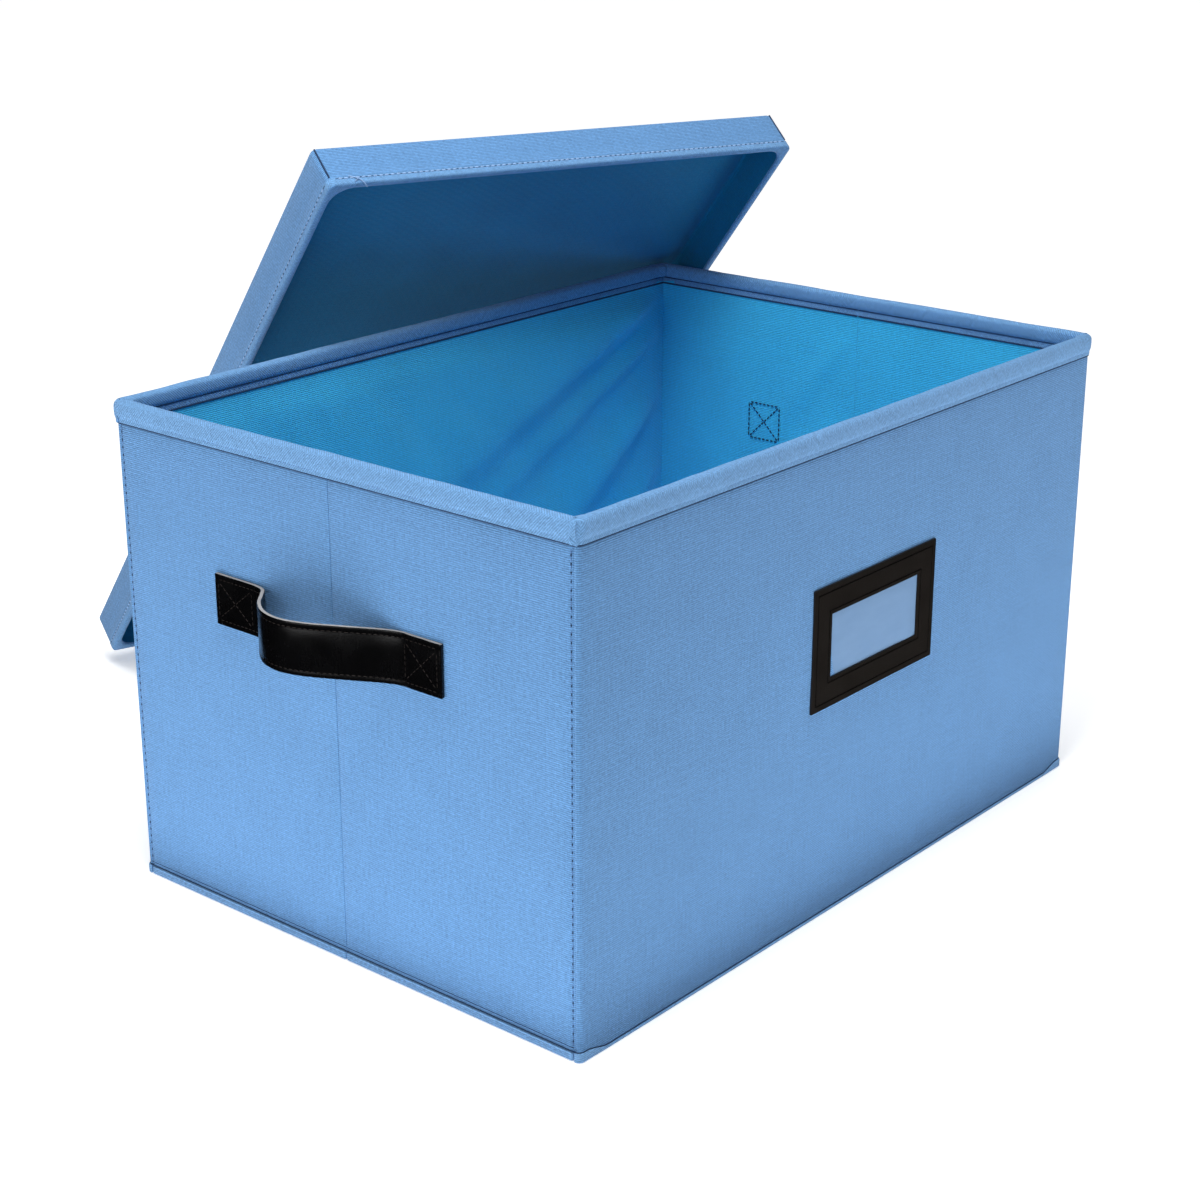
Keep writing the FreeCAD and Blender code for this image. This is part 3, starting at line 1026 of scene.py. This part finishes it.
def label_round(inset, y):
    """The four runs of a seam that goes round the label, inset from its edge."""
    du, dz = LABEL_L / 2 - inset, LABEL_H / 2 - inset
    corners = [(-LABEL_X + i * du, y, LABEL_Z + k * dz) for i, k in ((-1, -1), (1, -1), (1, 1), (-1, 1))]
    return zip(corners, corners[1:] + corners[:1])


def label():
    obj = label_holder()
    ease_edges(obj, 0.0004, 2, 60)
    cut_stations(obj, 0, spread(-LABEL_X - LABEL_L / 2, -LABEL_X + LABEL_L / 2, 0.004))
    cover_with(obj, LABEL_LEATHER, 35)
    stand(obj, SIDES["front"])
    fix_to(obj, "front_wall", "label_leatherette", "label_frame")
    rows, cords = [], []
    for inset in LABEL_SEAMS:
        for p, q in label_round(inset, WALL_T + 0.00095):
            rows.append(on_wall(stitch_row(p, q, pitch=0.0026, length=0.0019, thick=0.0008), "front"))
    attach(joined("label_stitching", rows, BLACK_THREAD), "front_wall")
    # painted shade: black cords in the two seam grooves of the frame
    for inset in LABEL_SEAMS:
        for p, q in label_round(inset, WALL_T + 0.0011):
            cords.append(on_wall(rod(p, q, 0.0006), "front"))
    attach(joined("label_seam_shadow", cords, LABEL_GROOVE_SHADE), "front_wall")
    x0, x1 = -LABEL_X - 0.0385, -LABEL_X + 0.0385
    z0, z1 = LABEL_Z - 0.019, LABEL_Z + 0.019
    film = cloth_grid("label_clear_film", x0, x1, z0, z1, WALL_T + 0.0004, 0.002)

    def ease(p):
        quiet = smooth_edge(p.x, x0, x1, 0.01) * smooth_edge(p.z, z0, z1, 0.008)
        p.y += quiet * (0.0003 + 0.0004 * ripple(p, 0.02, 2.0))
        corner = max(0.0, 1 - math.hypot(p.x - (x0 + 0.008), p.z - (z0 + 0.007)) / 0.012)
        p.y += 0.0006 * corner * corner
        return p

    move_points(film, ease)
    all_over(film, bpy.ops.mesh.flip_normals)
    finish_with(film, "SOLIDIFY", thickness=0.0002, offset=0)
    cover_with(film, FILM, 60)
    stand(film, SIDES["front"])
    fix_to(film, "front_wall", "clear_film", "label_window")


# ---- lid ---------------------------------------------------------------------

def lid_matrix():
    turn = Matrix.Rotation(math.radians(LID_TURN), 4, "Z")
    lean = Matrix.Rotation(math.radians(LID_LEAN), 4, "X")
    roll = Matrix.Rotation(math.radians(LID_ROLL), 4, "Z")
    return Matrix.Translation(LID_AT) @ turn @ lean @ roll


def round_corners(obj, offset, segments):
    """Rounds the upright edges, in edit mode."""
    round_off(obj, lambda e: abs((e.verts[0].co - e.verts[1].co).z) > 0.003
              and (e.verts[0].co - e.verts[1].co).xy.length < 1e-5, offset, segments)


def lid_shell(name, a, b, z0, z1, corner, fillet, heights):
    """A box open below, with rounded corners and a soft top edge."""
    obj = block(name, -a, a, -b, b, z0, z1)
    edit(obj)
    cut_away(obj, lambda f: f.normal.z < -0.9)
    round_corners(obj, *corner)
    round_off(obj, lambda e: min(v.co.z for v in e.verts) > z1 - 1e-5, fillet, 3)
    leave()
    cut_stations(obj, 0, spread(-a, a, 0.009))
    cut_stations(obj, 1, spread(-b, b, 0.009))
    cut_stations(obj, 2, heights)
    return obj


def lid_canvas():
    """Outer canvas of the lid: one shell with boxed, sewn corners."""
    a, b = LID_A / 2, LID_B / 2
    obj = lid_shell("lid_outer_canvas", a, b, 0.0006 - LID_D, 0.0, (0.0034, 4), 0.0016,
                    [0.0049 - LID_D, 0.0057 - LID_D, 0.0065 - LID_D, 0.012 - LID_D])

    def ease(p):
        wave = ripple(p, 0.06, 9.1) * 0.0004 + ripple(p, 0.018, 4.4) * 0.00015
        if p.z > -0.0005:
            quiet = smooth_edge(p.x, -a, a, 0.03) * smooth_edge(p.y, -b, b, 0.03)
            p.z += quiet * 0.7 * (wave + 0.0004)
        else:
            groove = 0.0005 * math.exp(-((p.z - 0.0057 + LID_D) / 0.0007) ** 2)
            quiet = smooth_edge(p.z, 0.0006 - LID_D, 0, 0.006)
            shift = quiet * wave - groove
            if abs(p.x) > a - 0.001 and abs(p.y) < b - 0.004:
                p.x += math.copysign(shift, p.x)
            if abs(p.y) > b - 0.001 and abs(p.x) < a - 0.004:
                p.y += math.copysign(shift, p.y)
        return p

    move_points(obj, ease)
    face_out(obj)
    finish_with(obj, "SOLIDIFY", thickness=0.0006, offset=-1)
    cover_with(obj, CANVAS, 50)
    return obj


def lid_inner():
    """Lining of the lid: top panel and the inside of the skirt in one cloth with rounded corners."""
    a, b = LID_A / 2 - LID_T, LID_B / 2 - LID_T
    obj = lid_shell("lid_inner_cloth", a, b, 0.0012 - LID_D, -LID_T, (0.007, 5), 0.0022,
                    spread(0.0012 - LID_D, -LID_T, 0.006))

    def ease(p):
        if p.z > -LID_T - 0.0003:
            quiet = smooth_edge(p.x, -a, a, 0.04) * smooth_edge(p.y, -b, b, 0.04)
            p.z -= quiet * 0.0002 * (1 + ripple(p, 0.07, 6.3))
        elif p.z < -LID_T - 0.003:
            shift = 0.0004 * ripple(p, 0.03, 8.0)
            if abs(p.x) > a - 0.001:
                p.x -= math.copysign(abs(shift), p.x)
            if abs(p.y) > b - 0.001:
                p.y -= math.copysign(abs(shift), p.y)
        return p

    move_points(obj, ease)
    face_out(obj)
    finish_with(obj, "SOLIDIFY", thickness=0.0004, offset=1)
    cover_with(obj, SHADED_LID_LINING, 50)
    return obj


def lid_roll():
    """The rolled hem round the lid's lip."""
    out = 0.0005
    a, b = LID_A / 2 + out, LID_B / 2 + out
    obj = block("lid_rolled_hem", -a, a, -b, b, -LID_D, 0.0052 - LID_D)
    edit(obj)
    cut_away(obj, lambda f: f.normal.z > 0.9)
    round_corners(obj, 0.0044, 4)
    pick(obj, lambda f: f.normal.z < -0.9, "FACE")
    bpy.ops.mesh.inset(thickness=LID_T + 2 * out, use_even_offset=True)
    bpy.ops.mesh.extrude_region_move(TRANSFORM_OT_translate={"value": (0, 0, 0.0021)})
    bpy.ops.mesh.delete(type="FACE")
    leave()
    inner_a, inner_b = a - LID_T - 2 * out, b - LID_T - 2 * out

    def round_corner(p):
        """Draws the inner edge of the lip into soft corners."""
        if abs(p.x) <= inner_a + 1e-5 and abs(p.y) <= inner_b + 1e-5:
            r = 0.011
            cx, cy = inner_a - r, inner_b - r
            if abs(p.x) > cx and abs(p.y) > cy:
                d = Vector((abs(p.x) - cx, abs(p.y) - cy))
                if d.length > r:
                    d = d.normalized() * r
                p.x = math.copysign(cx + d.x, p.x)
                p.y = math.copysign(cy + d.y, p.y)
        return p

    for axis, half, inner in ((0, a, inner_a), (1, b, inner_b)):
        cut_stations(obj, axis, spread(-half, half, 0.006) + [
            s * (inner - d) for s in (-1, 1) for d in (0.001, 0.002, 0.0035, 0.0055, 0.008, 0.011)])
    move_points(obj, round_corner)
    face_out(obj)
    ease_edges(obj, 0.0017, 4, 60)

    def ease(p):
        p.z += 0.00022 * (1 + ripple(p, 0.012, 3.3)) * (1 if p.z < 0.001 - LID_D else 0)
        return p

    move_points(obj, ease)
    finish_with(obj, "SOLIDIFY", thickness=0.0005, offset=-1)
    cover_with(obj, RIM_BAND, 50)
    return obj


LID_SEAM = {"pitch": 0.0034, "length": 0.0026, "thick": 0.0009}


def lid():
    a, b = LID_A / 2, LID_B / 2
    pieces = {
        "outer_canvas": (lid_canvas(), ["lid_top_cover"] + [f"lid_{s}_skirt" for s in
                                                            ("upper", "lower", "left", "right")]),
        "lid_lining": (lid_inner(), ["lid_top_lining"]),
        "lid_hem": (lid_roll(), [f"lid_{s}_hem" for s in ("upper", "lower", "left", "right")]),
    }
    for finish, (obj, nodes) in pieces.items():
        stand(obj, lid_matrix())
        fix_to(obj, "lid", finish, *nodes)
    z = 0.0043 - LID_D
    rows, dark = [], []
    for s in (-1, 1):
        rows.append(stitch_row((s * (a + 0.0005), 0.005 - b, z), (s * (a + 0.0005), b - 0.005, z),
                               out=(s, 0, 0), **LID_SEAM))
        rows.append(stitch_row((0.005 - a, s * (b + 0.0005), z), (a - 0.005, s * (b + 0.0005), z),
                               out=(0, s, 0), **LID_SEAM))
        # painted shade: dark cords in the groove under the stitches; dark cords also run down the boxed
        # corners
        for r in (-1, 1):
            x, y = s * (a - 0.0016), r * (b - 0.0003)
            dark.append(rod((x, y, 0.006 - LID_D), (x, y, -0.0008), 0.0009))
        dark.append(rod((s * (a + 0.0003), 0.004 - b, z), (s * (a + 0.0003), b - 0.004, z), 0.0007))
        dark.append(rod((0.004 - a, s * (b + 0.0003), z), (a - 0.004, s * (b + 0.0003), z), 0.0007))
    tail = [(0.012 - a, -b - 0.0006, 0.0056 - LID_D), (0.0165 - a, -b - 0.0012, 0.0032 - LID_D),
            (0.019 - a, -b - 0.0006, 0.0004 - LID_D), (0.0205 - a, 0.001 - b, -0.001 - LID_D)]
    for p, q in zip(tail, tail[1:]):
        rows.append(rod(p, q, 0.0006))
    rows.append(rod(tail[1], (0.014 - a, -b - 0.001, 0.0016 - LID_D), 0.0005))
    for name, parts, material in (("lid_stitching", rows, PALE_THREAD), ("lid_seam_shadow", dark, PAINTED_SEAM_SHADE)):
        sewn = joined(name, parts, material)
        stand(sewn, lid_matrix())
        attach(sewn, "lid")


def boards():
    """The stiffening boards stay as they were cut."""
    for name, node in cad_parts.items():
        if name.endswith("_board"):
            dress(node, BOARD)


# ---- studio ------------------------------------------------------------------

SKY = 0.2
BACKDROP = 1.05
CEILING = 1.65
FLOOR_GLOW = 0.33
CAMERA_AT = (-0.8760, -0.7178, 0.5344)
CAMERA_TILT, CAMERA_TURN = 70.07, -49.93
FOCAL_LENGTH = 69.22
# name, place, aimed at, width, height, power, whether shiny surfaces mirror it
LAMPS = (
    ("left_softbox", (-1.5, 0.12, 0.55), (-0.2, 0, 0.1), 0.8, 0.9, 5.0, True),
    ("left_bounce", (-0.50, 0.0, 0.006), (-0.50, 0.0, 1), 0.55, 0.55, 1.4, False),
    ("front_bounce", (0.2, -0.45, 0.006), (0.2, -0.45, 1), 0.8, 0.55, 1.9, False),
    ("inside_light", (-0.25, -0.14, 0.95), (0.15, 0.1, 0.12), 0.3, 0.3, 4.8, False),
)


def hang(name, data):
    """Puts a lamp or the camera in the scene."""
    obj = bpy.data.objects.new(name, data)
    bpy.context.collection.objects.link(obj)
    return obj


def studio():
    bpy.ops.mesh.primitive_plane_add(size=40, location=(0, 0, 0))
    floor = bpy.context.object
    floor.name = "studio_floor"
    m, b, shader = blank("pale_floor")
    shader.inputs["Base Color"].default_value = (0.93, 0.93, 0.93, 1)
    shader.inputs["Roughness"].default_value = 0.7
    shader.inputs["Specular IOR Level"].default_value = 0.0
    shader.inputs["Emission Color"].default_value = (1, 1, 1, 1)
    shader.inputs["Emission Strength"].default_value = FLOOR_GLOW
    dress(floor, m)
    floor.visible_glossy = False
    world = bpy.data.worlds.new("studio")
    world.use_nodes = True
    tree = world.node_tree
    ray = tree.nodes.new("ShaderNodeLightPath")
    level = tree.nodes.new("ShaderNodeMapRange")
    level.inputs["To Min"].default_value = SKY
    level.inputs["To Max"].default_value = BACKDROP
    tree.links.new(ray.outputs["Is Camera Ray"], level.inputs["Value"])
    tree.links.new(level.outputs["Result"], tree.nodes["Background"].inputs["Strength"])
    tree.nodes["Background"].inputs["Color"].default_value = (1, 1, 1, 1)
    world.cycles_visibility.glossy = False
    bpy.context.scene.world = world
    sun = bpy.data.lights.new("ceiling", "SUN")
    sun.energy = CEILING
    sun.angle = math.radians(40)
    hang("ceiling", sun)
    for name, place, target, width, height, power, mirrored in LAMPS:
        light = bpy.data.lights.new(name, "AREA")
        light.shape = "RECTANGLE"
        light.size = width
        light.size_y = height
        light.energy = power
        lamp = hang(name, light)
        lamp.location = place
        lamp.rotation_euler = (Vector(target) - Vector(place)).to_track_quat("-Z", "Y").to_euler()
        lamp.visible_camera = False
        lamp.visible_glossy = mirrored
    bpy.context.scene.view_settings.view_transform = "Standard"


def camera():
    lens = bpy.data.cameras.new("camera")
    lens.sensor_width = 36
    lens.lens = FOCAL_LENGTH
    cam = hang("camera", lens)
    cam.location = CAMERA_AT
    cam.rotation_euler = (math.radians(CAMERA_TILT), 0, math.radians(CAMERA_TURN))
    bpy.context.scene.camera = cam


long_walls()
end_walls()
base()
strap("left", 1)
strap("right", -1)
label()
lid()
boards()
studio()
camera()
